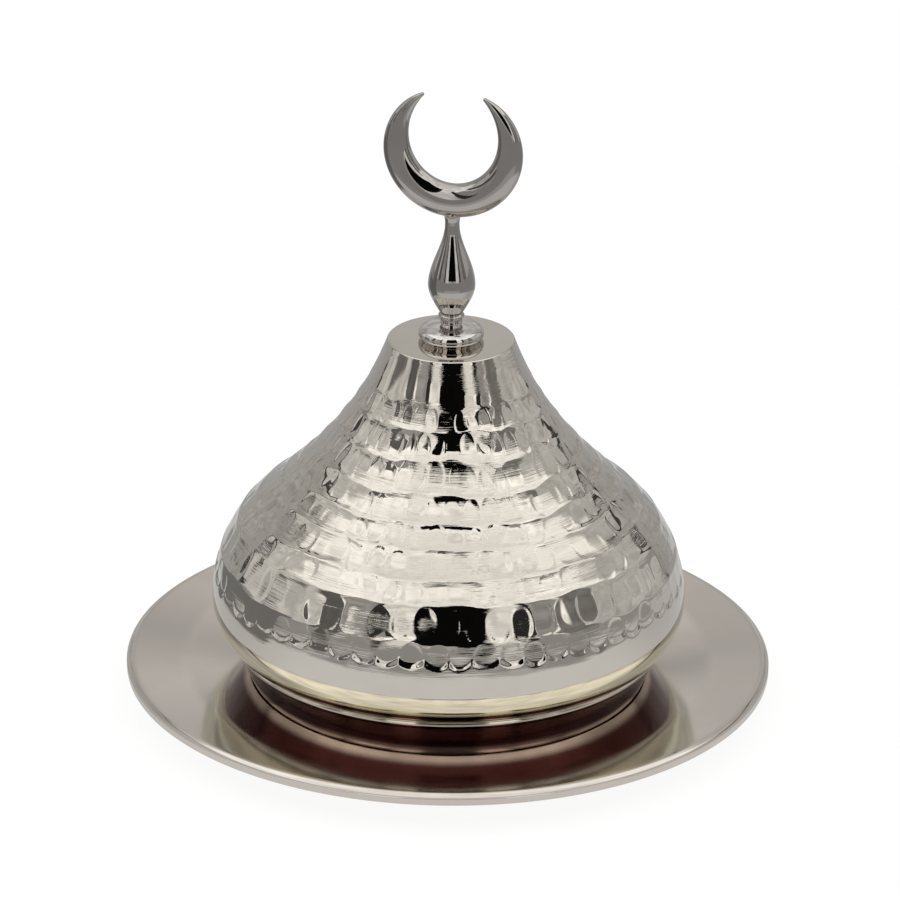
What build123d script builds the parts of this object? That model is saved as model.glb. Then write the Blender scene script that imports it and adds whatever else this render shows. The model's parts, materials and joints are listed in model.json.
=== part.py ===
from build123d import *
import os
from math import cos, radians, sin

# Lidded date bowl: a saucer, a low bowl in its well, a hammered dome lid and a crescent finial.
# Millimetres, +Z up. The origin is the centre of the saucer's underside, and every turned piece
# shares the Z axis. The crescent stands in the XZ plane.

# Saucer: spun dish with a well in the middle and a turned-down rim
saucer_radius = 100.0
saucer_wall = 0.9
well_clearance = 0.85        # well floor to the bowl's base, at the radius
well_wall_rise = 4.8         # well floor to the shoulder corner
well_wall_flare = 1.75       # how far the well wall leans out over that rise
well_floor_bend = 0.9
shoulder_bend = 5.6
brim_rise = 6.5              # shoulder corner to rim corner
rim_bend = 1.8
rim_lip_drop = 3.3           # rim corner to the lip's lower edge
rim_lip_round = 0.4

# Bowl: low flared wall with a rolled rim
bowl_base_radius = 59.2
bowl_wall = 0.8
bowl_wall_height = 18.3      # underside of the base to the middle of the rolled rim
bowl_wall_flare = 7.0
bowl_base_bend = 2.2
rim_roll_radius = 0.85

# Lid: onion dome made of tangent arcs, with a flat top
lid_wall = 0.9
lid_edge_radius = 67.4
lid_seat_gap = 0.2           # rolled rim to the lid's turned-in edge
lid_edge_drop = 12.2         # widest ring to the lid's edge
belly_radius = 73.3
shoulder_radius = 41.0
shoulder_angle = 51.5        # where the convex shoulder turns into the hollow neck
lid_height = 97.6            # lid's edge to its flat top
lid_top_radius = 19.4
lid_top_bend = 0.7
lid_edge_round = 0.35
lip_clearance = 0.4          # lip to the inside of the bowl's wall
lip_depth = 2.6

# Finial: rosette, spindle and crescent on one stud
rosette_radius = 9.7
rosette_foot_radius = 7.3
rosette_undercut = 1.0       # flat top to the rosette's widest ring
rosette_height = 4.7
rosette_rim_round = 0.3
spindle_neck_radius = 3.25
spindle_neck_height = 2.2
bead_radius = 4.0
bead_height = 1.5
pinch_radius = 3.3
bulb_radius = 7.2
bulb_height = 9.4            # pinch to the widest ring of the bulb
stem_radius = 2.25
stem_height = 29.0           # pinch to the start of the saddle
saddle_radius = 3.1
saddle_height = 3.6

crescent_radius = 17.45      # centre line of the ring
crescent_width = 10.6        # at the bottom, in the plane of the ring
crescent_depth_ratio = 0.69
horn_angle = 148.0           # from the bottom round to each tip
horn_tip_radius = 0.6
horn_opening = 0.9           # how far the tips stand outside the circle of the centre line
horn_taper = 2.5             # higher keeps the ring thick for longer before it draws out
opening_power = 4
rounding_power = 6           # how late the flat section turns round towards the tips
crescent_sections = 17
saddle_bite = 1.3            # how deep the crescent sits in the spindle's saddle

# Stud, washer and nut
stud_radius = 1.5
stud_reach = 9.0             # length of stud inside the spindle
stud_end = 1.2               # stud showing below the nut
thread_clearance = 0.03
bore_clearance = 0.1
washer_radius = 5.0
washer_thickness = 0.6
nut_across_flats = 5.5
nut_thickness = 2.4

os.makedirs("parts", exist_ok=True)

# Heights that follow from the sizes above
well_floor_z = saucer_wall
shoulder_z = well_floor_z + well_wall_rise
rim_z = shoulder_z + brim_rise
bowl_rim_z = well_floor_z + bowl_wall_height
lid_edge_z = bowl_rim_z + rim_roll_radius + lid_seat_gap
belly_z = lid_edge_z + lid_edge_drop
lid_top_z = lid_edge_z + lid_height
rosette_top_z = lid_top_z + rosette_height
bead_z = rosette_top_z + spindle_neck_height
pinch_z = bead_z + bead_height
stem_top_z = pinch_z + stem_height
crescent_z = stem_top_z + saddle_height - saddle_bite + crescent_width / 2 + crescent_radius


# Saucer
well_radius = bowl_base_radius + well_clearance
with BuildPart() as saucer:
    with BuildSketch(Plane.XZ) as saucer_section:
        with BuildLine() as saucer_line:
            FilletPolyline(
                (0, well_floor_z),
                (well_radius, well_floor_z),
                (well_radius + well_wall_flare, shoulder_z),
                (saucer_radius, rim_z),
                (saucer_radius, rim_z - rim_lip_drop),
                radius=(well_floor_bend, shoulder_bend, rim_bend),
            )
            offset(amount=saucer_wall, side=Side.RIGHT)
        make_face()
    revolve(axis=Axis.Z)
    rim_rings = saucer.edges().filter_by(GeomType.CIRCLE).group_by(SortBy.RADIUS)[-1]
    fillet(rim_rings.sort_by(Axis.Z)[0], rim_lip_round)
saucer.part.label = "saucer"


# Bowl: the sheet follows the wall, and the rim is rolled over outwards
with BuildPart() as date_bowl:
    with BuildSketch(Plane.XZ) as bowl_section:
        with BuildLine() as bowl_line:
            FilletPolyline(
                (0, well_floor_z),
                (bowl_base_radius, well_floor_z),
                (bowl_base_radius + bowl_wall_flare, bowl_rim_z),
                radius=bowl_base_bend,
            )
            offset(amount=bowl_wall, side=Side.LEFT)
        make_face()
        with Locations((bowl_base_radius + bowl_wall_flare, bowl_rim_z)):
            Circle(rim_roll_radius)
    revolve(axis=Axis.Z)
date_bowl.part.label = "date_bowl"


# Lid: the outer line runs from the flat top down to the lip that drops inside the bowl
edge_inset = belly_radius - lid_edge_radius
lower_radius = (lid_edge_drop**2 + edge_inset**2) / (2 * edge_inset)
shoulder_point = (
    belly_radius - shoulder_radius + shoulder_radius * cos(radians(shoulder_angle)),
    belly_z + shoulder_radius * sin(radians(shoulder_angle)),
)
bowl_lean = bowl_wall_flare / bowl_wall_height
lip_radius = bowl_base_radius + bowl_lean * (lid_edge_z - well_floor_z) - bowl_wall - lip_clearance


def on_lid_edge(edge):
    """True for the ring where the dome's outside meets its turned-in seat."""
    return abs(edge.radius - lid_edge_radius) < 0.01 and abs(edge.center().Z - lid_edge_z) < 0.01


with BuildPart() as lid_dome:
    with BuildSketch(Plane.XZ) as lid_section:
        with BuildLine() as lid_line:
            lip = Line(
                (lip_radius - bowl_lean * lip_depth, lid_edge_z - lip_depth),
                (lip_radius, lid_edge_z),
            )
            seat = Line(lip @ 1, (lid_edge_radius, lid_edge_z))
            lower = RadiusArc(seat @ 1, (belly_radius, belly_z), -lower_radius)
            shoulder = RadiusArc(lower @ 1, shoulder_point, -shoulder_radius)
            neck = TangentArc(shoulder @ 1, (lid_top_radius, lid_top_z), tangent=shoulder % 1)
            Line(neck @ 1, (stud_radius + bore_clearance, lid_top_z))
            offset(amount=lid_wall, side=Side.LEFT)
        make_face()
    revolve(axis=Axis.Z)
    rings = lid_dome.edges().filter_by(GeomType.CIRCLE)
    fillet(rings.group_by(Axis.Z)[-1].sort_by(SortBy.RADIUS)[-1], lid_top_bend)
    rings = lid_dome.edges().filter_by(GeomType.CIRCLE)
    fillet(rings.filter_by(on_lid_edge), lid_edge_round)
lid_dome.part.label = "lid_dome"


# Rosette: a domed button, undercut at its foot
with BuildPart() as finial_rosette:
    with BuildSketch(Plane.XZ) as rosette_section:
        with BuildLine() as rosette_line:
            foot = Line((stud_radius + bore_clearance, lid_top_z), (rosette_foot_radius, lid_top_z))
            undercut = Line(foot @ 1, (rosette_radius, lid_top_z + rosette_undercut))
            dome = EllipticalCenterArc(
                (spindle_neck_radius, lid_top_z + rosette_undercut),
                rosette_radius - spindle_neck_radius,
                rosette_height - rosette_undercut,
                start_angle=0,
                arc_size=90,
            )
            top = Line(dome @ 1, (stud_radius + bore_clearance, rosette_top_z))
            Line(top @ 1, foot @ 0)
        make_face()
        widest = rosette_section.vertices().filter_by(lambda vertex: vertex.X > rosette_radius - 0.01)
        fillet(widest, rosette_rim_round)
    revolve(axis=Axis.Z)
finial_rosette.part.label = "finial_rosette"


# Crescent: ellipses along a circle, thick at the bottom and drawn out to the two horns
def horn_half_width(share):
    """Half width of the ring at a share of the way from the bottom to a tip."""
    full = crescent_width / 2
    return horn_tip_radius + (full - horn_tip_radius) * (1 - share**horn_taper)


with BuildPart() as crescent:
    for index in range(crescent_sections):
        share = 2 * index / (crescent_sections - 1) - 1
        turn = radians(horn_angle * share)
        ring = crescent_radius + horn_opening * share**opening_power
        half_width = horn_half_width(abs(share))
        depth_ratio = crescent_depth_ratio + (1 - crescent_depth_ratio) * share**rounding_power
        section_plane = Plane(
            origin=(ring * sin(turn), 0, crescent_z - ring * cos(turn)),
            x_dir=(sin(turn), 0, -cos(turn)),
            z_dir=(cos(turn), 0, sin(turn)),
        )
        with BuildSketch(section_plane):
            Ellipse(half_width, half_width * depth_ratio)
    loft()
    tip_ring = crescent_radius + horn_opening
    tip_turn = radians(horn_angle)
    with Locations(
        (tip_ring * sin(tip_turn), 0, crescent_z - tip_ring * cos(tip_turn)),
        (-tip_ring * sin(tip_turn), 0, crescent_z - tip_ring * cos(tip_turn)),
    ):
        Sphere(horn_tip_radius)
crescent.part.label = "crescent"


# Spindle: neck, bead, pear-shaped bulb and a stem that ends in a saddle under the crescent
with BuildPart() as finial_spindle:
    with BuildSketch(Plane.XZ) as spindle_section:
        with BuildLine() as spindle_line:
            base = Line((0, rosette_top_z), (spindle_neck_radius, rosette_top_z))
            neck_side = Line(base @ 1, (spindle_neck_radius, bead_z))
            bead = ThreePointArc(
                neck_side @ 1,
                (bead_radius, bead_z + bead_height / 2),
                (pinch_radius, pinch_z),
            )
            bulb = Spline(
                bead @ 1,
                (bulb_radius, pinch_z + bulb_height),
                (stem_radius, stem_top_z),
                tangents=((0.5, 0.86), (0, 1), (0, 1)),
            )
            saddle = Spline(
                bulb @ 1,
                (saddle_radius, stem_top_z + saddle_height),
                tangents=((0, 1), (0.55, 0.83)),
            )
            crown = Line(saddle @ 1, (0, stem_top_z + saddle_height))
            Line(crown @ 1, base @ 0)
        make_face()
    revolve(axis=Axis.Z)
    add(crescent.part, mode=Mode.SUBTRACT)
    with Locations((0, 0, rosette_top_z + stud_reach / 2)):
        Cylinder(stud_radius + thread_clearance, stud_reach, mode=Mode.SUBTRACT)
finial_spindle.part.label = "finial_spindle"


# Stud, washer and nut inside the lid
washer_top_z = lid_top_z - lid_wall
nut_top_z = washer_top_z - washer_thickness
stud_bottom_z = nut_top_z - nut_thickness - stud_end
with BuildPart() as lid_washer:
    with BuildSketch(Plane.XY.offset(nut_top_z)):
        Circle(washer_radius)
        Circle(stud_radius + bore_clearance, mode=Mode.SUBTRACT)
    extrude(amount=washer_thickness)
lid_washer.part.label = "lid_washer"

with BuildPart() as lid_nut:
    with BuildSketch(Plane.XY.offset(nut_top_z - nut_thickness)):
        RegularPolygon(nut_across_flats / 2, 6, major_radius=False)
        Circle(stud_radius + thread_clearance, mode=Mode.SUBTRACT)
    extrude(amount=nut_thickness)
lid_nut.part.label = "lid_nut"

with BuildPart() as finial_stud:
    with BuildSketch(Plane.XY.offset(stud_bottom_z)):
        Circle(stud_radius)
    extrude(amount=rosette_top_z + stud_reach - stud_bottom_z)
finial_stud.part.label = "finial_stud"


for piece in (
    saucer,
    date_bowl,
    lid_dome,
    finial_rosette,
    finial_spindle,
    crescent,
    finial_stud,
    lid_washer,
    lid_nut,
):
    export_step(piece.part, f"parts/{piece.part.label}.step")
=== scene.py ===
"""Lidded date bowl: finishes, the hammered lid, the light tent and the camera.

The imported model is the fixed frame. Its nodes keep their places and get their finishes here. The
saucer, the bowl, the lid, the rosette, the spindle and the crescent give way to finer meshes, and
the lid's mesh carries the hammer marks.
"""
import json
import logging
import math
from dataclasses import dataclass, field
from enum import Enum

import bpy
import numpy as np
from mathutils import Matrix, Vector


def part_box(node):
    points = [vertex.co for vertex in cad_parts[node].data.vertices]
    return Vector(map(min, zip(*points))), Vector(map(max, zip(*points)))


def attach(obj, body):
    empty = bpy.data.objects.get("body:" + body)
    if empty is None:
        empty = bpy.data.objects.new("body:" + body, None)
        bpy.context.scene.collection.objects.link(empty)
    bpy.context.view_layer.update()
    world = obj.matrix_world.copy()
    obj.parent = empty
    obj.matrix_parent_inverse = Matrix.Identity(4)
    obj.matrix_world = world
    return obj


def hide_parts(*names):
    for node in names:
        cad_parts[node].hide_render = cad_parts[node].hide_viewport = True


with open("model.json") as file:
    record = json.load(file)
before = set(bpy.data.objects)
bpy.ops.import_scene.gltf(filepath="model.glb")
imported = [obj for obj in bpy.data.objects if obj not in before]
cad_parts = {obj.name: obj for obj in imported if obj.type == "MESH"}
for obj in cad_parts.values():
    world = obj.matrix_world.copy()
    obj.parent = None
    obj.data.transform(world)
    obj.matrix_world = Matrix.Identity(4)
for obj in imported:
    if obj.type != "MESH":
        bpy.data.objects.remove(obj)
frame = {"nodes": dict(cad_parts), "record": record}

Socket = bpy.types.NodeSocket
Pair = tuple[float, float]
Triple = tuple[float, float, float]

log = logging.getLogger("date_bowl")

MM = 0.001
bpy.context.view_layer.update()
# Where the camera stands, in degrees from -Y towards +X. The studio is laid out from it.
FRONT_AZIMUTH = 13.9
# The longest step round a bend, in degrees.
BEND_STEP = 8.0


class Finish(Enum):
    """The record's material slots."""

    BRUSHED = "brushed_nickel"
    BOWL = "bowl_nickel"
    HAMMERED = "hammered_nickel"
    POLISHED = "polished_nickel"
    ZINC = "zinc_steel"


@dataclass
class Canvas:
    """A node tree with short calls for adding and joining nodes."""

    tree: bpy.types.NodeTree

    def add(self, kind: str, **settings: object) -> bpy.types.Node:
        """Adds a node of a kind and sets its properties."""
        node = self.tree.nodes.new(kind)
        for name, value in settings.items():
            setattr(node, name, value)
        return node

    def feed(self, source: object, target: Socket) -> None:
        """Joins a socket, or sets a plain value, to a target socket."""
        if isinstance(source, Socket):
            self.tree.links.new(source, target)
        else:
            target.default_value = source

    def fed(self, kind: str, *values: object, **settings: object) -> bpy.types.Node:
        """Adds a node and feeds its sockets in order."""
        node = self.add(kind, **settings)
        for value, socket in zip(values, node.inputs):
            self.feed(value, socket)
        return node

    def math(self, operation: str, *values: object) -> Socket:
        """A Math node's output."""
        return self.fed("ShaderNodeMath", *values, operation=operation).outputs[0]

    def vector(self, operation: str, *values: object) -> Socket:
        """A Vector Math node's first output."""
        return self.fed("ShaderNodeVectorMath", *values, operation=operation).outputs[0]

    def span(self, value: object, low: object, high: object, to_low: float = 0.0,
             to_high: float = 1.0, smooth: bool = True) -> Socket:
        """Maps a value from one range to another, clamped.

        Args:
            value: The socket or number to map.
            low: Value that maps to to_low.
            high: Value that maps to to_high.
            to_low: Result at low.
            to_high: Result at high.
            smooth: True for a soft step, False for a straight line.

        Returns:
            The mapped value.
        """
        kind = "SMOOTHSTEP" if smooth else "LINEAR"
        node = self.fed("ShaderNodeMapRange", value, low, high, to_low, to_high,
                        interpolation_type=kind)
        return node.outputs[0]

    def mix(self, share: object, first: object, second: object) -> Socket:
        """Blends two colours by a share."""
        node = self.add("ShaderNodeMix", data_type="RGBA")
        self.feed(share, node.inputs["Factor"])
        for source, socket in ((first, node.inputs[6]), (second, node.inputs[7])):
            self.feed(source, socket)
        return node.outputs[2]

    def blend(self, share: object, first: object, second: object) -> Socket:
        """Blends two numbers by a share."""
        node = self.add("ShaderNodeMix", data_type="FLOAT")
        sockets = (node.inputs[0], node.inputs[2], node.inputs[3])
        for source, socket in zip((share, first, second), sockets):
            self.feed(source, socket)
        return node.outputs[0]

    def shader_mix(self, share: object, first: Socket, second: Socket) -> Socket:
        """Blends two shaders by a share."""
        return self.fed("ShaderNodeMixShader", share, first, second).outputs[0]

    def parts(self, vector: Socket) -> tuple[Socket, ...]:
        """The X, Y and Z of a vector."""
        return tuple(self.fed("ShaderNodeSeparateXYZ", vector).outputs)

    def joined(self, *parts: Socket) -> Socket:
        """The vector of an X, a Y and a Z."""
        return self.fed("ShaderNodeCombineXYZ", *parts).outputs[0]

    def from_axis(self, east: Socket, north: Socket) -> Socket:
        """Distance from the Z axis, from X and Y."""
        squares = [self.math("POWER", part, 2.0) for part in (east, north)]
        return self.math("SQRT", self.math("ADD", *squares))

    def group(self, tree: bpy.types.NodeTree, **numbers: float) -> bpy.types.Node:
        """Adds a node group and sets its number sockets."""
        node = self.add("ShaderNodeGroup", node_tree=tree)
        for name, value in numbers.items():
            node.inputs[name].default_value = value
        return node

    def noise(self, where: object, scale: float, detail: float = 2.0,
              roughness: float = 0.5) -> Socket:
        """A noise value from 0 to 1 at a place."""
        node = self.add("ShaderNodeTexNoise")
        self.feed(where, node.inputs["Vector"])
        for name, value in (("Scale", scale), ("Detail", detail), ("Roughness", roughness)):
            node.inputs[name].default_value = value
        return node.outputs["Fac"]


def rgba(colour: Triple) -> tuple[float, float, float, float]:
    """A colour with full alpha."""
    return (*colour, 1.0)


class EffectGroups:
    """Shader node groups that more than one finish uses."""

    line_detail = 3.0
    line_roughness = 0.6
    worn_stretch = (1.0, 1.0, 0.12)
    worn_limits = (0.4, 0.62)
    smear_detail = 4.0
    smear_roughness = 0.62
    smear_limits = (0.35, 0.75)

    def __init__(self) -> None:
        """Builds every group once."""
        self.turned_lines = self._turned_lines()
        self.handling = self._handling()
        self.height_step = self._height_step()

    @staticmethod
    def _new(name: str, inputs: dict[str, float],
             outputs: tuple[str, ...]) -> tuple[Canvas, bpy.types.Node, bpy.types.Node]:
        """Starts a group with number sockets: its canvas, and its input and output nodes."""
        tree = bpy.data.node_groups.new(name, "ShaderNodeTree")
        for label, default in inputs.items():
            socket = tree.interface.new_socket(label, in_out="INPUT", socket_type="NodeSocketFloat")
            socket.default_value = default
        for label in outputs:
            tree.interface.new_socket(label, in_out="OUTPUT", socket_type="NodeSocketFloat")
        canvas = Canvas(tree)
        return canvas, canvas.add("NodeGroupInput"), canvas.add("NodeGroupOutput")

    def _turned_lines(self) -> bpy.types.NodeTree:
        """Fine lines that a turning tool leaves round the axis. Pitch and Wander are in metres."""
        canvas, given, out = self._new(
            "turned_lines", {"Pitch": 0.0008, "Wander": 0.02}, ("Height", "Mask")
        )
        parts = canvas.parts(canvas.add("ShaderNodeTexCoord").outputs["Object"])
        along = canvas.math("SUBTRACT", parts[2], canvas.from_axis(parts[0], parts[1]))
        steps = canvas.math("DIVIDE", along, given.outputs["Pitch"])
        across = (canvas.math("DIVIDE", part, given.outputs["Wander"]) for part in parts[:2])
        sweep = canvas.joined(*across, steps)
        fine = canvas.noise(sweep, 1.0, self.line_detail, self.line_roughness)
        canvas.feed(fine, out.inputs["Height"])
        stretched = canvas.vector("MULTIPLY", sweep, self.worn_stretch)
        worn = canvas.noise(stretched, 1.0, 1.0)
        canvas.feed(canvas.span(worn, *self.worn_limits), out.inputs["Mask"])
        return canvas.tree

    def _handling(self) -> bpy.types.NodeTree:
        """Faint smears and cloudy patches of a handled, wiped metal. Size is in metres."""
        canvas, given, out = self._new("handling", {"Size": 0.02}, ("Mask",))
        place = canvas.add("ShaderNodeTexCoord").outputs["Object"]
        size = canvas.joined(*[given.outputs["Size"]] * 3)
        scaled = canvas.vector("DIVIDE", place, size)
        smears = canvas.noise(scaled, 1.0, self.smear_detail, self.smear_roughness)
        canvas.feed(canvas.span(smears, *self.smear_limits), out.inputs["Mask"])
        return canvas.tree

    def _height_step(self) -> bpy.types.NodeTree:
        """A mask that rises from 0 to 1 between the heights Low and High, in metres."""
        canvas, given, out = self._new("height_step", {"Low": 0.0, "High": 0.01}, ("Mask",))
        height = canvas.parts(canvas.add("ShaderNodeTexCoord").outputs["Object"])[2]
        mask = canvas.span(height, given.outputs["Low"], given.outputs["High"])
        canvas.feed(mask, out.inputs["Mask"])
        return canvas.tree


@dataclass(frozen=True)
class MetalFinish:
    """One plated or bare metal finish.

    Lengths are in metres. Each pair is a soft change between two heights over the saucer's foot.
    """

    slot: Finish
    colour: Triple
    dull_colour: Triple
    roughness: float
    dull_roughness: float
    line_pitch: float
    line_depth: float
    line_wander: float = 0.02
    patch_size: float = 0.02
    lines_above: Pair | None = None
    lines_below: Pair | None = None
    lower_colour: Triple | None = None
    lower_below: Pair | None = None

    def build(self, groups: EffectGroups) -> bpy.types.Material:
        """Makes the material.

        Args:
            groups: The shared effects.

        Returns:
            A node material named after the slot.
        """
        material = bpy.data.materials.new(self.slot.value)
        material.use_nodes = True
        canvas = Canvas(material.node_tree)
        shader = material.node_tree.nodes["Principled BSDF"]
        shader.inputs["Metallic"].default_value = 1.0
        lines = canvas.group(groups.turned_lines, Pitch=self.line_pitch, Wander=self.line_wander)
        haze = canvas.group(groups.handling, Size=self.patch_size)
        colour = canvas.mix(haze.outputs["Mask"], rgba(self.colour), rgba(self.dull_colour))
        # Below a height step the colour turns to lower_colour. On the hammered lid that is a
        # painted reflection of the saucer. On the bowl's outer wall it is the plain metal below the
        # painted dark-red reflection.
        if self.lower_below:
            above = self._step(canvas, groups, self.lower_below)
            colour = canvas.mix(above, rgba(self.lower_colour), colour)
        canvas.feed(colour, shader.inputs["Base Color"])
        rough = canvas.span(haze.outputs["Mask"], 0.0, 1.0, self.roughness,
                            self.dull_roughness, smooth=False)
        canvas.feed(rough, shader.inputs["Roughness"])
        bump = canvas.add("ShaderNodeBump")
        bump.inputs["Distance"].default_value = self.line_depth
        relief = lines.outputs["Height"]
        if self.lines_above:
            relief = canvas.math("MULTIPLY", relief, lines.outputs["Mask"])
            relief = canvas.math("MULTIPLY", relief, self._step(canvas, groups, self.lines_above))
        if self.lines_below:
            fading = canvas.math("SUBTRACT", 1.0, self._step(canvas, groups, self.lines_below))
            relief = canvas.math("MULTIPLY", relief, fading)
        canvas.feed(relief, bump.inputs["Height"])
        canvas.feed(bump.outputs["Normal"], shader.inputs["Normal"])
        return material

    @staticmethod
    def _step(canvas: Canvas, groups: EffectGroups, step: Pair) -> Socket:
        """The mask of a height step."""
        return canvas.group(groups.height_step, Low=step[0], High=step[1]).outputs["Mask"]


FINISHES = (
    MetalFinish(
        Finish.BRUSHED, colour=(0.62, 0.575, 0.525), dull_colour=(0.60, 0.555, 0.505),
        roughness=0.10, dull_roughness=0.13, line_pitch=0.0005, line_depth=2e-6,
    ),
    MetalFinish(
        Finish.BOWL, colour=(0.60, 0.55, 0.50), dull_colour=(0.56, 0.51, 0.46),
        roughness=0.05, dull_roughness=0.08, line_pitch=0.0006, line_depth=1e-6,
    ),
    MetalFinish(
        Finish.HAMMERED, colour=(0.61, 0.575, 0.52), dull_colour=(0.59, 0.555, 0.495),
        roughness=0.025, dull_roughness=0.05, line_pitch=0.0009, line_depth=1.1e-4,
        lines_above=(0.034, 0.042), lines_below=(0.1166, 0.1171),
        # Below about 31 mm the lid's belly takes a bright cream colour: a painted reflection of the
        # saucer's top.
        lower_colour=(0.86, 0.84, 0.69), lower_below=(0.0303, 0.0313),
    ),
    MetalFinish(
        Finish.POLISHED, colour=(0.44, 0.418, 0.396), dull_colour=(0.40, 0.378, 0.357),
        roughness=0.03, dull_roughness=0.07, line_pitch=0.0012, line_depth=2e-6,
        lower_colour=(0.60, 0.575, 0.55), lower_below=(0.1236, 0.1250),
    ),
    MetalFinish(
        Finish.ZINC, colour=(0.60, 0.61, 0.62), dull_colour=(0.52, 0.53, 0.54),
        roughness=0.28, dull_roughness=0.38, line_pitch=0.0003, line_depth=2e-6,
    ),
)

# The bowl's outer wall inside the saucer's well: a painted dark-red reflection of the surroundings
# above, plain warm metal below.
BOWL_OUTSIDE_PAINTED_REFLECTION = MetalFinish(
    Finish.BOWL, colour=(0.07, 0.022, 0.020), dull_colour=(0.09, 0.030, 0.027),
    roughness=0.09, dull_roughness=0.14, line_pitch=0.0006, line_depth=1e-6,
    lower_colour=(0.62, 0.52, 0.46), lower_below=(0.0080, 0.0105),
)


def ring_mesh(name: str, rings: np.ndarray, closed_profile: bool) -> bpy.types.Object:
    """A turned mesh from rings of points.

    Args:
        name: The object's name.
        rings: Points as rings by steps by 3, in metres.
        closed_profile: True where the last ring joins the first. Otherwise the first and the
            last ring each bound a flat cap.

    Returns:
        The new object, smooth shaded.
    """
    count, steps = rings.shape[:2]
    index = np.arange(count * steps).reshape(count, steps)
    upper = np.roll(index, -1, axis=0)
    quads = np.stack([index, np.roll(index, -1, axis=1), np.roll(upper, -1, axis=1), upper], -1)
    caps = [] if closed_profile else [index[0][::-1], index[-1]]
    if not closed_profile:
        quads = quads[:-1]
    corners = np.concatenate([quads.reshape(-1), *caps])
    cap_starts = [quads.size + number * steps for number in range(len(caps))]
    starts = np.concatenate([np.arange(0, quads.size, 4), cap_starts])
    mesh = bpy.data.meshes.new(name)
    mesh.vertices.add(count * steps)
    mesh.vertices.foreach_set("co", rings.reshape(-1).astype(np.float32))
    mesh.loops.add(corners.size)
    mesh.loops.foreach_set("vertex_index", corners.astype(np.int32))
    mesh.polygons.add(len(starts))
    mesh.polygons.foreach_set("loop_start", starts.astype(np.int32))
    mesh.update(calc_edges=True)
    mesh.validate()
    mesh.polygons.foreach_set("use_smooth", np.ones(len(starts), bool))
    made = bpy.data.objects.new(name, mesh)
    bpy.context.scene.collection.objects.link(made)
    return made


def polar(centre: Pair, radius: float, angle: float) -> Pair:
    """The point at an angle round a centre, in degrees from level."""
    turn = math.radians(angle)
    return centre[0] + radius * math.cos(turn), centre[1] + radius * math.sin(turn)


def arc_points(centre: Pair, radius: float, start: float, end: float, step: float) -> np.ndarray:
    """Points along an arc of a profile, the first left out.

    Args:
        centre: The arc's centre as radius and height.
        radius: The arc's radius.
        start: First angle, in degrees from level.
        end: Last angle, in degrees.
        step: Longest distance from point to point.

    Returns:
        Rows of radius and height.
    """
    count = max(2, math.ceil(abs(math.radians(end - start)) * abs(radius) / step))
    turns = np.radians(np.linspace(start, end, count + 1)[1:])
    return np.stack([centre[0] + radius * np.cos(turns), centre[1] + radius * np.sin(turns)], -1)


def line_points(start: Pair, end: Pair, step: float) -> np.ndarray:
    """Points along a straight stretch of a profile, the first left out."""
    length = math.dist(start, end)
    shares = np.linspace(0, 1, max(1, math.ceil(length / step)) + 1)[1:, None]
    return np.array(start) + (np.array(end) - np.array(start)) * shares


def bent_line(corners: list[Pair], bends: tuple[float, ...], step: float) -> np.ndarray:
    """A profile of straight stretches with rounded corners.

    Args:
        corners: The ends and corners as radius and height.
        bends: The bend radius at each corner between the ends.
        step: Longest distance from point to point.

    Returns:
        Rows of radius and height.
    """
    line = [np.array([corners[0]])]
    last = np.array(corners[0])
    for before, corner, after, bend in zip(corners, corners[1:], corners[2:], bends):
        corner = np.array(corner)
        back = (np.array(before) - corner) / math.dist(before, corner)
        ahead = (np.array(after) - corner) / math.dist(after, corner)
        half = math.acos(float(np.clip(back @ ahead, -1, 1))) / 2
        cut = bend / math.tan(half)
        middle = corner + (back + ahead) / np.linalg.norm(back + ahead) * bend / math.sin(half)
        first, end = corner + back * cut - middle, corner + ahead * cut - middle
        start = math.degrees(math.atan2(first[1], first[0]))
        turn = (math.degrees(math.atan2(end[1], end[0])) - start + 180) % 360 - 180
        line.append(line_points(tuple(last), tuple(corner + back * cut), step))
        fine = min(step, bend * math.radians(BEND_STEP))
        line.append(arc_points(tuple(middle), bend, start, start + turn, fine))
        last = corner + ahead * cut
    line.append(line_points(tuple(last), corners[-1], step))
    return np.concatenate(line)


def turned(line: np.ndarray, steps: int) -> np.ndarray:
    """Rings of a profile turned round the axis."""
    turns = np.linspace(0, 2 * math.pi, steps, endpoint=False)
    height = np.broadcast_to(line[:, 1:], (len(line), steps))
    return np.stack([line[:, :1] * np.cos(turns), line[:, :1] * np.sin(turns), height], -1)


def ring_normals(rings: np.ndarray) -> np.ndarray:
    """Unit normals at the points of a closed set of rings, pointing out of the sheet."""
    round_it = np.roll(rings, -1, axis=1) - np.roll(rings, 1, axis=1)
    along_it = np.roll(rings, -1, axis=0) - np.roll(rings, 1, axis=0)
    normal = np.cross(round_it, along_it)
    return normal / np.maximum(np.linalg.norm(normal, axis=-1, keepdims=True), 1e-12)


def around(values: np.ndarray, place: np.ndarray) -> np.ndarray:
    """Blends values smoothly round a closed row.

    Args:
        values: One value for the middle of each cell.
        place: Places counted in cells, of any size.

    Returns:
        The blended value at each place.
    """
    middle = place - 0.5
    cell = np.floor(middle).astype(int)
    share = middle - cell
    share = share * share * (3 - 2 * share)
    count = len(values)
    return values[cell % count] * (1 - share) + values[(cell + 1) % count] * share


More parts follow.
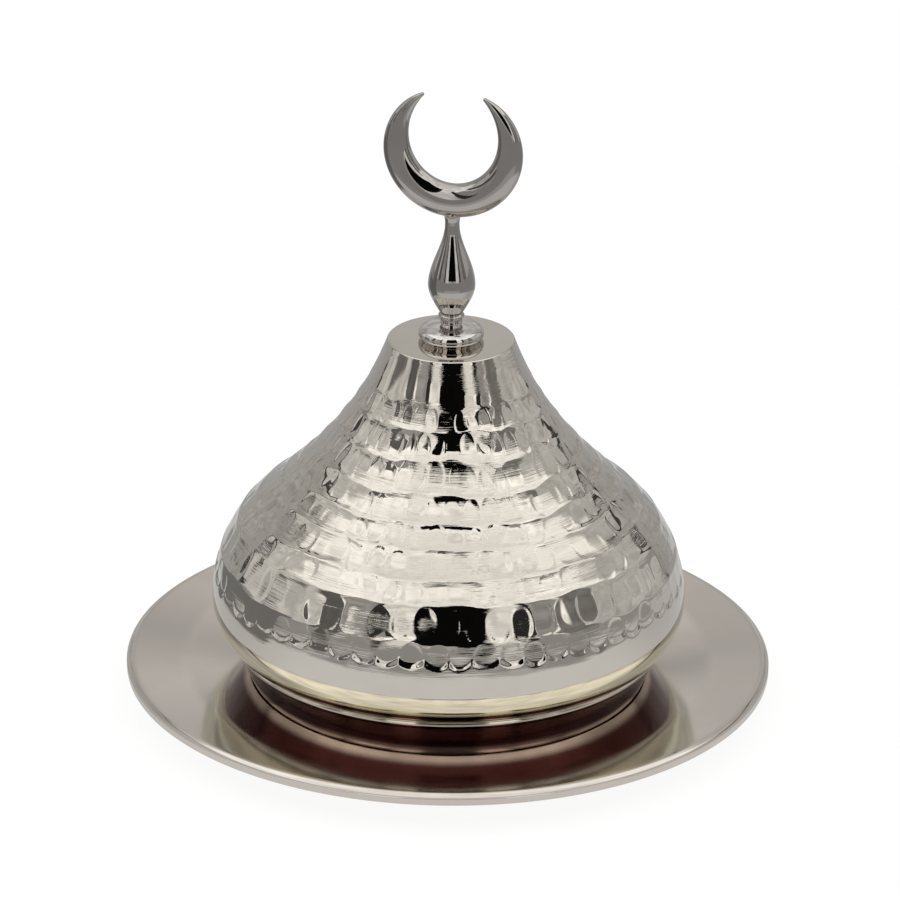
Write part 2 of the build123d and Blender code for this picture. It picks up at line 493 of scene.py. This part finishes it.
@dataclass
class HammerMarks:
    """Rows of hammer marks between the smooth belly and the smooth neck.

    Each row is a shallow trough round the lid, left by the row of blows, and in it stand the
    marks themselves, flat in the middle with a soft rim. The lowest row is a shelf of flat faces
    with a scalloped lower edge. Distances along the wall are in millimetres, measured up the
    profile from the lid's edge. Spreads are standard deviations of the seeded draws.
    """

    first_row: float = 20.5
    row_heights: tuple[float, ...] = (8.5, 11.2, 7.8, 9.9, 8.1, 9.1, 10.3, 9.5, 7.6)
    lowest_count: int = 60
    fewer_each_row: float = 2.4
    trough_slope: float = 15.5
    trough_power: float = 3.5
    trough_spread: float = 0.12
    shelf_depth: float = 0.56
    shelf_flatness: float = 0.71
    shelf_spread: float = 0.22
    scallop: float = 0.26
    scallop_edge: float = 0.25
    place_spread: float = 0.06
    drift_spread: float = 0.065
    mark_width: float = 0.93
    mark_width_spread: float = 0.05
    mark_height: float = 0.97
    mark_depth: float = 0.07
    lowest_mark_depth: float = 0.08
    mark_depth_spread: float = 0.3
    tilt: float = 0.11
    seed: int = 7

    def _trough(self, level: np.ndarray) -> np.ndarray:
        """Shares of a trough's depth at heights in its row, from -1 to 1."""
        return np.clip(1 - np.abs(level) ** self.trough_power, 0, None)

    def _shelf(self, level: np.ndarray, across: np.ndarray) -> np.ndarray:
        """Shares of the depth of the lowest row's flat faces, deepest at their lower edges.

        Level is the height in the row and across the place in the mark, both from -1 to 1.
        """
        rise = np.clip((level + 1) / 2, 0, 1)
        flat = 1 - (1 - self.shelf_flatness) * rise - self.shelf_flatness * rise**2
        edge = self.scallop * (1 - np.sqrt(1 - across**2))
        blend = np.clip((rise - edge) / self.scallop_edge, 0, 1)
        return flat * blend**2 * (3 - 2 * blend)

    def cut(self, along: np.ndarray, turns: np.ndarray) -> np.ndarray:
        """How deep the marks are at places on the wall.

        Args:
            along: Distance up the wall for each ring, in millimetres.
            turns: Angles round the axis, in radians.

        Returns:
            Depth in millimetres for each ring and angle.
        """
        draw = np.random.default_rng(self.seed)
        deep = np.zeros((len(along), len(turns)))
        low = self.first_row
        slope = math.tan(math.radians(self.trough_slope))
        for row, height in enumerate(self.row_heights):
            lowest = row == 0
            count = round(self.lowest_count - self.fewer_each_row * row)
            place = (turns / (2 * math.pi) * count + draw.uniform()) % count
            place = place + around(draw.normal(0, self.place_spread, count), place)
            cell = np.floor(place).astype(int) % count
            drift = around(draw.normal(0, self.drift_spread, count), place)
            level = (along[:, None] - low) / (height / 2) - 1 - 2 * drift
            trough = self.shelf_depth if lowest else slope * height / 2 / self.trough_power
            spread = self.shelf_spread if lowest else self.trough_spread
            trough = trough * around(draw.normal(1, spread, count), place)
            across = 2 * (place - np.floor(place)) - 1
            wide = draw.normal(self.mark_width, self.mark_width_spread, count)[cell]
            reach = (across / wide) ** 2 + (level / self.mark_height) ** 2
            middle = np.clip(1 - reach**2, 0, None)
            depth = self.lowest_mark_depth if lowest else self.mark_depth
            depth = depth * draw.normal(1, self.mark_depth_spread, count)[cell]
            lean = draw.normal(0, self.tilt, (2, count))[:, cell]
            marks = middle * (depth + lean[0] * across + lean[1] * level)
            hollow = self._shelf(level, across) if lowest else self._trough(level)
            deep = np.maximum(deep, trough * hollow + np.clip(marks, 0, None))
            low += height
        return deep


@dataclass
class HammeredLid:
    """The onion-shaped lid, with the plain dome's sizes in millimetres."""

    wall: float = 0.9
    lip_radius: float = 65.4
    lip_foot_radius: float = 64.41
    lip_depth: float = 2.6
    edge_radius: float = 67.4
    edge_round: float = 0.35
    edge_drop: float = 12.2
    belly_radius: float = 73.3
    shoulder_radius: float = 41.0
    shoulder_angle: float = 51.5
    top_radius: float = 19.4
    top_bend: float = 0.7
    bore_radius: float = 1.6
    corner_share: float = 0.7
    swell: float = 0.7
    swell_from: float = 22.0
    swell_to: float = 104.0
    relief_share: float = 0.55
    steps: int = 840
    fine_step: float = 0.42
    coarse_step: float = 1.6
    bend_step: float = 0.12
    seat_step: float = 1.0
    top_step: float = 2.0
    top_bend_angles: Pair = (20.0, 90.0)
    edge_angles: Pair = (-90.0, -40.0)
    marks: HammerMarks = field(default_factory=HammerMarks)

    def __post_init__(self) -> None:
        """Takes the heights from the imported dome."""
        low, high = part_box("lid_dome")
        self.top_height = high.z / MM
        self.edge_height = low.z / MM + self.lip_depth
        self.belly_height = self.edge_height + self.edge_drop

    def _wall_line(self, inset: float, step: float) -> np.ndarray:
        """The curved wall from the lid's edge to its top, moved inwards by an inset."""
        inward = self.belly_radius - self.edge_radius
        low_radius = (self.edge_drop**2 + inward**2) / (2 * inward)
        start = -math.degrees(math.asin(self.edge_drop / low_radius))
        low_centre = (self.belly_radius - low_radius, self.belly_height)
        shoulder_centre = (self.belly_radius - self.shoulder_radius, self.belly_height)
        bend = polar(shoulder_centre, self.shoulder_radius, self.shoulder_angle)
        chord = math.dist(bend, (self.top_radius, self.top_height))
        chord_angle = math.degrees(math.atan2(bend[0] - self.top_radius, self.top_height - bend[1]))
        half = self.shoulder_angle - chord_angle
        neck_radius = chord / (2 * math.sin(math.radians(half)))
        neck_centre = polar(bend, neck_radius, self.shoulder_angle)
        top_angle = self.shoulder_angle - 2 * half
        return np.concatenate([
            np.array([polar(low_centre, low_radius - inset, start)]),
            arc_points(low_centre, low_radius - inset, start, 0, step),
            arc_points(shoulder_centre, self.shoulder_radius - inset, 0, self.shoulder_angle, step),
            arc_points(neck_centre, -(neck_radius + inset), self.shoulder_angle, top_angle, step),
        ])

    @staticmethod
    def _outward(line: np.ndarray) -> np.ndarray:
        """Unit normals of a profile that runs upwards, pointing away from the axis."""
        slope = np.gradient(line, axis=0)
        normal = np.stack([slope[:, 1], -slope[:, 0]], -1)
        return normal / np.linalg.norm(normal, axis=1)[:, None]

    def _ring_block(self, line: np.ndarray, share: float) -> np.ndarray:
        """Rings of a rising wall line, with a share of the hammer marks' depth pressed in."""
        lengths = np.hypot(*np.diff(line, axis=0).T)
        along = np.concatenate([[0], np.cumsum(lengths)])
        turns = np.linspace(0, 2 * math.pi, self.steps, endpoint=False)
        reach = np.clip((along - self.swell_from) / (self.swell_to - self.swell_from), 0, 1)
        pushed_out = self.swell * np.sin(math.pi * reach)[:, None]
        deep = self.marks.cut(along, turns) * share - pushed_out
        normal = self._outward(line)
        radius = line[:, :1] - normal[:, :1] * deep
        height = line[:, 1:] - normal[:, 1:] * deep
        return np.stack([radius * np.cos(turns), radius * np.sin(turns), height], -1)

    def _rings(self, share: float) -> np.ndarray:
        """All rings of the lid, from the lip's foot up the outside and down the inside."""
        outer = self._wall_line(0.0, self.fine_step)
        inner = self._wall_line(self.wall, self.coarse_step)
        top, edge = self.top_height, self.edge_height
        body = outer[(outer[:, 1] > edge + self.edge_round) & (outer[:, 1] < top - self.top_bend)]
        inside = inner[(inner[:, 1] > edge + self.wall) & (inner[:, 1] < top - self.wall)]
        corner = self.top_radius - self.top_bend * self.corner_share
        bend = arc_points((corner, top - self.top_bend), self.top_bend, *self.top_bend_angles,
                          self.bend_step)
        foot = (self.lip_foot_radius, edge - self.lip_depth)
        inset = self.edge_round * self.corner_share
        edge_middle = (self.edge_radius - inset, edge + self.edge_round)
        seat = np.concatenate([
            np.array([foot]),
            line_points(foot, (self.lip_radius, edge), self.seat_step),
            line_points((self.lip_radius, edge), (edge_middle[0], edge), self.seat_step),
            arc_points(edge_middle, self.edge_round, *self.edge_angles, self.bend_step),
        ])
        lid_top = line_points((corner, top), (self.bore_radius, top), self.top_step)
        under_top = np.array([[self.bore_radius, top - self.wall]])
        inner_lip = np.array([
            [self.lip_radius - self.wall, edge + self.wall],
            [foot[0] - self.wall, foot[1]],
        ])
        return np.concatenate([
            turned(seat, self.steps),
            self._ring_block(body, share),
            turned(np.concatenate([bend, lid_top, under_top]), self.steps),
            self._ring_block(inside, share)[::-1],
            turned(inner_lip, self.steps),
        ])

    def build(self) -> bpy.types.Object:
        """Makes the hammered lid.

        Returns:
            The lid, riding on the lid's body in place of the plain dome.
        """
        rings = self._rings(self.relief_share)
        lid = ring_mesh("hammered_lid", rings * MM, True)
        normals = ring_normals(self._rings(1.0)).reshape(-1, 3)
        lid.data.normals_split_custom_set_from_vertices(normals)
        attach(lid, "lid")
        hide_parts("lid_dome")
        log.info("hammered_lid: %d rings of %d points", *rings.shape[:2])
        return lid


@dataclass
class FineSaucer:
    """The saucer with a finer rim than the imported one, in millimetres.

    Points are radius and height. The underside's points lie in from the top's by the insets.
    """

    radius: float = 100.0
    wall: float = 0.9
    well_radius: float = 59.5
    shoulder: Pair = (61.65, 6.7)
    shoulder_bend: float = 0.7
    brim_middle: Pair = (82.0, 10.4)
    brim_bend: float = 80.0
    brim_end: Pair = (98.35, 12.35)
    crest_bend: float = 0.8
    notch: Pair = (99.3, 11.3)
    lip_top: float = 11.15
    lip_foot: float = 8.9
    lip_round: float = 0.4
    lip_hollow: float = 0.4
    well_bend: float = 0.9
    notch_bend: float = 0.2
    rim_inset: float = 0.1
    shoulder_inset: float = 0.7
    well_inset: float = 0.6
    under_bends: Triple = (0.8, 1.5, 1.8)
    axis_cap: float = 0.5
    top_step: float = 1.2
    lip_step: float = 0.5
    under_step: float = 1.5
    steps: int = 900

    def build(self) -> bpy.types.Object:
        """Makes the saucer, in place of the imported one."""
        top = bent_line(
            [(self.axis_cap, self.wall), (self.well_radius, self.wall), self.shoulder,
             self.brim_middle, self.brim_end, self.notch],
            (self.well_bend, self.shoulder_bend, self.brim_bend, self.crest_bend), self.top_step,
        )
        inside = self.radius - self.wall
        lip_end = (inside, self.lip_top - self.lip_hollow)
        lip = bent_line(
            [self.notch, (self.radius, self.lip_top), (self.radius, self.lip_foot),
             (inside, self.lip_foot), lip_end],
            (self.notch_bend, self.lip_round, self.notch_bend), self.lip_step,
        )
        first_bend, shoulder_bend, well_bend = self.under_bends
        moved = (
            (self.brim_end, self.rim_inset), (self.brim_middle, self.rim_inset),
            (self.shoulder, self.shoulder_inset), ((self.well_radius, self.wall), self.well_inset),
        )
        under = bent_line(
            [lip_end, *((point[0] + inset, point[1] - self.wall) for point, inset in moved),
             (self.axis_cap, 0.0)],
            (first_bend, self.brim_bend, shoulder_bend, well_bend), self.under_step,
        )
        line = np.concatenate([top, lip[1:], under[1:]])
        saucer = ring_mesh("fine_saucer", turned(line, self.steps) * MM, False)
        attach(saucer, "saucer")
        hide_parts("saucer")
        return saucer


@dataclass
class FineBowl:
    """The low flared bowl with its rolled rim, in millimetres."""

    wall: float = 0.8
    base_height: float = 0.9
    base_radius: float = 59.2
    base_bend: float = 2.2
    rim_centre: Pair = (66.2, 19.2)
    roll_radius: float = 0.85
    roll_angles: Pair = (-70.0, 200.0)
    roll_step: float = 0.1
    outer_end_share: float = 0.9
    inner_end_share: float = 0.5
    axis_cap: float = 0.5
    wall_step: float = 1.2
    steps: int = 720

    def build(self, inside: bpy.types.Material, outside: bpy.types.Material) -> None:
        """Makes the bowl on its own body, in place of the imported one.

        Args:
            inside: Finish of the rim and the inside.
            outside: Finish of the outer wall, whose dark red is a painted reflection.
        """
        flare = self.rim_centre[0] - self.base_radius
        rise = self.rim_centre[1] - self.base_height
        lean = math.degrees(math.atan2(flare, rise))
        slant = self.wall / math.cos(math.radians(lean)) - self.wall * flare / rise
        inner_base = self.base_radius - slant
        inner_height = self.base_height + self.wall
        rim_height = self.rim_centre[1]
        outer = bent_line(
            [(self.axis_cap, self.base_height), (self.base_radius, self.base_height),
             self.rim_centre],
            (self.base_bend,), self.wall_step,
        )
        outer = outer[outer[:, 1] < rim_height - self.roll_radius * self.outer_end_share]
        roll = arc_points(self.rim_centre, self.roll_radius, *self.roll_angles, self.roll_step)
        inner = bent_line(
            [(self.axis_cap, inner_height), (inner_base, inner_height),
             (inner_base + flare, rim_height + self.wall)],
            (self.base_bend - self.wall,), self.wall_step,
        )[::-1]
        inner = inner[inner[:, 1] < rim_height - self.roll_radius * self.inner_end_share]
        line = np.concatenate([outer, roll, inner])
        bowl = ring_mesh("fine_bowl", turned(line, self.steps) * MM, False)
        bowl.data.materials.append(inside)
        bowl.data.materials.append(outside)
        side = np.zeros(len(bowl.data.polygons), np.int32)
        side[: (len(outer) - 1) * self.steps] = 1
        bowl.data.polygons.foreach_set("material_index", side)
        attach(bowl, "bowl")
        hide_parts("date_bowl")


def eased(start: Triple, end: Triple, step: float) -> np.ndarray:
    """A smooth stretch of a profile, the first point left out.

    Args:
        start: Radius, height, and change of radius with height where it starts.
        end: The same where it ends.
        step: Longest height from point to point.

    Returns:
        Rows of radius and height.
    """
    rise = end[1] - start[1]
    share = np.linspace(0, 1, math.ceil(rise / step) + 1)[1:]
    left = 1 - share
    radius = (start[0] * (1 + 2 * share) + start[2] * rise * share) * left**2
    radius += (end[0] * (3 - 2 * share) - end[2] * rise * left) * share**2
    return np.stack([radius, start[1] + rise * share], -1)


@dataclass
class FineFinial:
    """The rosette, the spindle and the crescent with finer surfaces, in millimetres.

    Heights count from the lid's flat top, and points are radius and height.
    """

    bore_radius: float = 1.6
    rosette_corners: tuple[Pair, ...] = (
        (9.2, 0.0), (10.15, 1.5), (9.9, 3.3), (7.6, 4.75), (3.3, 5.45),
    )
    rosette_bends: tuple[float, ...] = (1.4, 2.4, 7.5)
    neck_radius: float = 3.35
    neck_top: float = 7.1
    bead_bulge: float = 0.65
    bead_top: float = 8.5
    bulb: Pair = (7.2, 17.8)
    stem: Pair = (2.2, 37.4)
    saddle: Pair = (3.1, 41.0)
    pinch_slope: float = 0.58
    saddle_slope: float = 0.66
    ring_radius: float = 17.45
    half_width: float = 5.3
    depth_ratio: float = 0.69
    horn_angle: float = 148.0
    tip_radius: float = 0.6
    opening: float = 0.9
    opening_power: int = 4
    taper: float = 2.5
    rounding_power: int = 6
    crescent_rings: int = 420
    crescent_steps: int = 112
    tip_rings: int = 7
    last_tip_ring: float = 85.0
    spindle_overlap: float = 0.05
    spindle_cap: float = 1.0
    foot_step: float = 1.0
    neck_step: float = 0.4
    bead_rings: int = 14
    steps: int = 288
    step: float = 0.14

    def build(self) -> list[bpy.types.Object]:
        """Makes the three pieces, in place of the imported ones."""
        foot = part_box("finial_rosette")[0].z / MM
        rosette = self._rosette() + np.array([0.0, foot])
        spindle = self._spindle() + np.array([0.0, foot])
        pieces = (
            ("fine_rosette", turned(rosette, self.steps), True, "finial_rosette"),
            ("fine_spindle", turned(spindle, self.steps), False, "finial_spindle"),
            ("fine_crescent", self._crescent(), False, "crescent"),
        )
        return [
            self._keep(ring_mesh(name, rings * MM, closed), node)
            for name, rings, closed, node in pieces
        ]

    @staticmethod
    def _keep(piece: bpy.types.Object, node: str) -> bpy.types.Object:
        """Puts a piece on the lid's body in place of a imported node."""
        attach(piece, "lid")
        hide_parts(node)
        return piece

    def _rosette(self) -> np.ndarray:
        """Closed profile of the domed button, from its bore out and back."""
        corners = [(self.bore_radius, 0.0), *self.rosette_corners]
        dome = bent_line(corners[1:], self.rosette_bends, self.step)
        foot = line_points(corners[0], corners[1], self.foot_step)[:-1]
        return np.concatenate([
            np.array([corners[0]]), foot, dome, np.array([(self.bore_radius, corners[-1][1])]),
        ])

    def _spindle(self) -> np.ndarray:
        """Profile of the spindle from its foot up to its saddle."""
        foot = (self.neck_radius, self.rosette_corners[-1][1] - self.spindle_overlap)
        turn = np.linspace(0, 1, self.bead_rings + 1)[1:, None]
        bead = np.concatenate([
            self.neck_radius + self.bead_bulge * np.sin(math.pi * turn),
            self.neck_top + (self.bead_top - self.neck_top) * turn,
        ], 1)
        pinch = (self.neck_radius, self.bead_top, self.pinch_slope)
        bulb, stem = (*self.bulb, 0.0), (*self.stem, 0.0)
        return np.concatenate([
            np.array([(self.spindle_cap, foot[1]), foot]),
            line_points(foot, (self.neck_radius, self.neck_top), self.neck_step),
            bead,
            eased(pinch, bulb, self.step),
            eased(bulb, stem, self.step),
            eased(stem, (*self.saddle, self.saddle_slope), self.step),
        ])

    def _crescent(self) -> np.ndarray:
        """Rings of the crescent from tip to tip, with round ends."""
        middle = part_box("crescent")[0].z / MM + self.ring_radius + self.half_width
        share = np.linspace(-1, 1, self.crescent_rings)
        past = np.radians(np.linspace(self.last_tip_ring, 0, self.tip_rings + 1))[:-1]
        share = np.concatenate([np.full(len(past), -1.0), share, np.full(len(past), 1.0)])
        beyond = np.concatenate([-np.sin(past), np.zeros(self.crescent_rings), np.sin(past[::-1])])
        shrink = np.concatenate([np.cos(past), np.ones(self.crescent_rings), np.cos(past[::-1])])
        turn = np.radians(self.horn_angle) * share
        ring = self.ring_radius + self.opening * share**self.opening_power
        thick = 1 - np.abs(share) ** self.taper
        half = self.tip_radius + (self.half_width - self.tip_radius) * thick
        ratio = self.depth_ratio + (1 - self.depth_ratio) * share**self.rounding_power
        flat = np.zeros_like(turn)
        outward = np.stack([np.sin(turn), flat, -np.cos(turn)], -1)
        ahead = np.stack([np.cos(turn), flat, np.sin(turn)], -1)
        centre = outward * ring[:, None] + ahead * (beyond * self.tip_radius)[:, None]
        centre[:, 2] += middle
        round_it = np.linspace(0, 2 * math.pi, self.crescent_steps, endpoint=False)
        wide = (half * shrink)[:, None] * np.cos(round_it)
        deep = (half * shrink * ratio)[:, None] * np.sin(round_it)
        side = np.array([0.0, 1.0, 0.0])
        return centre[:, None] + wide[..., None] * outward[:, None] + deep[..., None] * side


@dataclass
class Dresser:
    """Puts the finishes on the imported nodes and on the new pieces."""

    materials: dict[str, bpy.types.Material]

    def dress(self, piece: bpy.types.Object, finish: Finish) -> None:
        """Gives a piece one finish all over."""
        piece.data.materials.clear()
        piece.data.materials.append(self.materials[finish.value])
        log.info("%s: %s", piece.name, finish.value)

    def dress_nodes(self) -> None:
        """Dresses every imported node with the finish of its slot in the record."""
        for part in frame["record"]["subparts"]:
            self.dress(frame["nodes"][part["node"]], Finish(part["material_slot"]))


def within(canvas: Canvas, value: Socket, limits: Pair, soft: float) -> Socket:
    """A mask that is 1 between two limits and falls off softly across each."""
    rising = canvas.span(value, limits[0] - soft / 2, limits[0] + soft / 2)
    falling = canvas.span(value, limits[1] - soft / 2, limits[1] + soft / 2, 1.0, 0.0)
    return canvas.math("MULTIPLY", rising, falling)


def front_azimuth(canvas: Canvas, parts: tuple[Socket, ...]) -> Socket:
    """The azimuth of a direction, in degrees from the camera's side, positive to the right."""
    from_x = canvas.math("ARCTAN2", parts[1], parts[0])
    degrees = canvas.math("MULTIPLY", from_x, 180 / math.pi)
    turned_on = canvas.math("ADD", degrees, 90.0 - FRONT_AZIMUTH + 180.0 + 360.0)
    return canvas.math("SUBTRACT", canvas.math("MODULO", turned_on, 360.0), 180.0)


@dataclass(frozen=True)
class TentArea:
    """One lit or dark area of the light tent, as seen from the object.

    Azimuths count from the camera's side, positive to its right. All angles are in degrees.
    """

    azimuths: Pair
    elevations: Pair
    level: float
    soft_sides: float
    soft_ends: float


STRIPES = tuple(
    TentArea(*row) for row in (
        ((-215, -124), (-40, 13), 0.47, 6.0, 8.0),
        ((-152, -124), (-40, 36), 0.47, 6.0, 12.0),
        ((134, 215), (-40, 13), 0.47, 6.0, 8.0),
        ((134, 152), (-40, 36), 0.47, 6.0, 12.0),
        ((-121, -72), (-40, 38), 0.74, 4.0, 8.0),
        ((79, 131), (-40, 38), 0.64, 4.0, 8.0),
        ((-70, -57), (-40, 39), 0.15, 1.5, 1.5),
        ((-54, -38), (-40, 39), 0.42, 1.5, 1.5),
        ((-31, -16), (-40, 36), 1.05, 1.5, 3.0),
        ((21, 35), (-40, 36), 1.05, 1.5, 3.0),
        ((46, 58), (-40, 39), 0.40, 1.5, 1.5),
        ((60, 79), (-40, 39), 0.26, 2.0, 2.0),
        ((-38, -32), (-40, 44), 0.04, 0.8, 0.8),
        ((38.5, 45.5), (-40, 44), 0.03, 0.8, 0.8),
        ((-124, -120.5), (-40, 48), 0.07, 1.0, 1.0),
        ((130.5, 134), (-40, 48), 0.07, 1.0, 1.0),
        ((-16.5, 21.5), (3, 50), 0.004, 0.6, 0.6),
    )
)


@dataclass
class LightTent:
    """The studio round the object: cloth walls, a bright roof and the camera's dark slot."""

    wall_level: float = 0.60
    tint: Triple = (1.0, 0.99, 0.975)
    cloth_scale: float = 8.0
    cloth_change: float = 0.24
    fold_limits: Pair = (0.3, 0.7)
    areas: tuple[TentArea, ...] = (
        TentArea((-118, 126), (18, 95), 1.39, 30.0, 7.0),
        TentArea((-210, 210), (62, 95), 1.15, 20.0, 20.0),
        TentArea((-215, -178), (17, 33), 0.50, 2.0, 8.0),
        TentArea((178, 215), (17, 33), 0.50, 2.0, 8.0),
        *STRIPES,
        TentArea((-101, -79), (-8, 12), 0.22, 3.0, 3.0),
    )

    def build(self) -> None:
        """Makes the world that lights the object."""
        world = bpy.data.worlds.new("light_tent")
        bpy.context.scene.world = world
        world.use_nodes = True
        canvas = Canvas(world.node_tree)
        shader = world.node_tree.nodes["Background"]
        direction = canvas.add("ShaderNodeTexCoord").outputs["Generated"]
        parts = canvas.parts(direction)
        azimuth = front_azimuth(canvas, parts)
        rise = canvas.math("MULTIPLY", canvas.math("ARCSINE", parts[2]), 180 / math.pi)
        level = self.wall_level
        for area in self.areas:
            inside = canvas.math(
                "MULTIPLY", within(canvas, azimuth, area.azimuths, area.soft_sides),
                within(canvas, rise, area.elevations, area.soft_ends),
            )
            level = canvas.blend(inside, level, area.level)
        folds = canvas.noise(direction, self.cloth_scale)
        cloth = canvas.span(folds, *self.fold_limits, 1 - self.cloth_change,
                            1 + self.cloth_change, smooth=False)
        shader.inputs["Color"].default_value = rgba(self.tint)
        canvas.feed(canvas.math("MULTIPLY", level, cloth), shader.inputs["Strength"])
        log.info("light_tent: %d areas", len(self.areas))


@dataclass(frozen=True)
class FloorRing:
    """One ring of the floor as the metal mirrors it.

    It takes over between the two distances of starts. Its front level holds in front_azimuths.
    """

    starts: Pair
    level: float
    front_level: float
    front_azimuths: Pair
    soft: float


@dataclass
class Floor:
    """The plain pale table top.

    Its shown white is what the camera sees. Its rings, from near to far, are what the metal
    mirrors. Lengths are in metres, and azimuths count from the camera's side.
    """

    radius: float = 14.0
    drop: float = 0.00005
    sides: int = 96
    colour: Triple = (0.86, 0.855, 0.845)
    roughness: float = 0.9
    shown_white: float = 0.84
    white_level: float = 1.07
    rings: tuple[FloorRing, ...] = (
        FloorRing((-1.0, 0.0), 0.62, 0.84, (-75, 80), 50.0),
        FloorRing((0.24, 0.30), 0.40, 0.58, (-35, 37), 8.0),
        FloorRing((0.38, 0.46), 0.46, 0.38, (-120, 130), 8.0),
    )
    dark_side_level: float = 0.22
    dark_side_azimuths: Pair = (-133, -79)
    dark_side_from: Pair = (0.16, 0.18)
    dark_side_to: float = 0.9
    dark_wedge_azimuths: Pair = (-101, -79)
    dark_soft: float = 3.0

    def build(self) -> None:
        """Makes the floor and its white finish."""
        rim = turned(np.array([(self.radius, -self.drop)]), self.sides)[0]
        mesh = bpy.data.meshes.new("floor")
        mesh.from_pydata(rim.tolist(), [], [tuple(range(self.sides))])
        floor = bpy.data.objects.new("floor", mesh)
        bpy.context.scene.collection.objects.link(floor)
        floor.data.materials.append(self._finish())

    def _finish(self) -> bpy.types.Material:
        """A white that keeps some of the object's shadow, clear when seen from below."""
        material = bpy.data.materials.new("white_floor")
        material.use_nodes = True
        canvas = Canvas(material.node_tree)
        nodes = material.node_tree.nodes
        cloth = nodes["Principled BSDF"]
        cloth.inputs["Base Color"].default_value = rgba(self.colour)
        cloth.inputs["Roughness"].default_value = self.roughness
        cloth.inputs["Specular IOR Level"].default_value = 0.0
        white, mirrored = canvas.add("ShaderNodeEmission"), canvas.add("ShaderNodeEmission")
        white.inputs["Strength"].default_value = self.white_level
        canvas.feed(self._mirrored(canvas), mirrored.inputs["Strength"])
        path = canvas.add("ShaderNodeLightPath").outputs
        by_camera = canvas.math("MULTIPLY", path["Is Camera Ray"], self.shown_white)
        in_metal = canvas.math("MAXIMUM", path["Is Glossy Ray"], path["Is Transmission Ray"])
        below = canvas.add("ShaderNodeNewGeometry").outputs["Backfacing"]
        clear = canvas.add("ShaderNodeBsdfTransparent").outputs[0]
        shown = canvas.shader_mix(by_camera, cloth.outputs[0], white.outputs[0])
        shown = canvas.shader_mix(in_metal, shown, mirrored.outputs[0])
        shown = canvas.shader_mix(below, shown, clear)
        canvas.feed(shown, nodes["Material Output"].inputs["Surface"])
        return material

    def _mirrored(self, canvas: Canvas) -> Socket:
        """How bright the table looks in the metal: paler near the bowl, dark on the left."""
        parts = canvas.parts(canvas.add("ShaderNodeTexCoord").outputs["Object"])
        azimuth = front_azimuth(canvas, parts)
        away = canvas.from_axis(parts[0], parts[1])
        level = 0.0
        for ring in self.rings:
            in_front = within(canvas, azimuth, ring.front_azimuths, ring.soft)
            shade = canvas.blend(in_front, ring.level, ring.front_level)
            level = canvas.blend(canvas.span(away, *ring.starts), level, shade)
        wedge = within(canvas, azimuth, self.dark_wedge_azimuths, self.dark_soft)
        reach = canvas.blend(wedge, self.dark_side_to, self.radius)
        dark_side = canvas.math(
            "MULTIPLY", within(canvas, azimuth, self.dark_side_azimuths, self.dark_soft),
            canvas.span(away, *self.dark_side_from),
        )
        dark_side = canvas.math("MULTIPLY", dark_side, canvas.math("LESS_THAN", away, reach))
        return canvas.blend(dark_side, level, self.dark_side_level)


@dataclass
class PhotoCamera:
    """The camera of the photograph."""

    distance: float = 1.8
    azimuth: float = FRONT_AZIMUTH
    elevation: float = 23.46
    roll: float = 0.6
    target_height: float = 0.08065
    target_right: float = 0.00002
    focal_pixels: float = 5857.6
    frame_pixels: float = 900.0
    sensor: float = 36.0
    clip_start: float = 0.1
    clip_end: float = 60.0

    def build(self) -> None:
        """Makes the scene's camera."""
        turn, rise = math.radians(self.azimuth), math.radians(self.elevation)
        level = math.cos(rise)
        back = Vector((math.sin(turn) * level, -math.cos(turn) * level, math.sin(rise)))
        right = Vector((math.cos(turn), math.sin(turn), 0.0))
        target = Vector((0, 0, self.target_height)) + right * self.target_right
        data = bpy.data.cameras.new("photo_camera")
        data.sensor_width = self.sensor
        data.lens = self.focal_pixels / self.frame_pixels * self.sensor
        data.clip_start, data.clip_end = self.clip_start, self.clip_end
        camera = bpy.data.objects.new("photo_camera", data)
        bpy.context.scene.collection.objects.link(camera)
        upright = back.to_track_quat("Z", "Y").to_matrix()
        camera.matrix_world = (
            Matrix.Translation(target + back * self.distance)
            @ (upright @ Matrix.Rotation(math.radians(self.roll), 3, "Z")).to_4x4()
        )
        bpy.context.scene.camera = camera


def main() -> None:
    """Builds the finishes, the pieces and the studio in order."""
    logging.basicConfig(level=logging.INFO, format="%(name)s %(message)s")
    groups = EffectGroups()
    dresser = Dresser({finish.slot.value: finish.build(groups) for finish in FINISHES})
    dresser.dress_nodes()
    dresser.dress(HammeredLid().build(), Finish.HAMMERED)
    dresser.dress(FineSaucer().build(), Finish.BRUSHED)
    # The bowl's outer wall carries a painted dark-red reflection in its colour.
    bowl_outside_painted_reflection = BOWL_OUTSIDE_PAINTED_REFLECTION.build(groups)
    bowl_outside_painted_reflection.name = "bowl_outside_painted_reflection"
    FineBowl().build(dresser.materials[Finish.BOWL.value], bowl_outside_painted_reflection)
    for piece in FineFinial().build():
        dresser.dress(piece, Finish.POLISHED)
    Floor().build()
    LightTent().build()
    PhotoCamera().build()
    bpy.context.scene.view_settings.view_transform = "Standard"


if __name__ == "__main__":
    main()
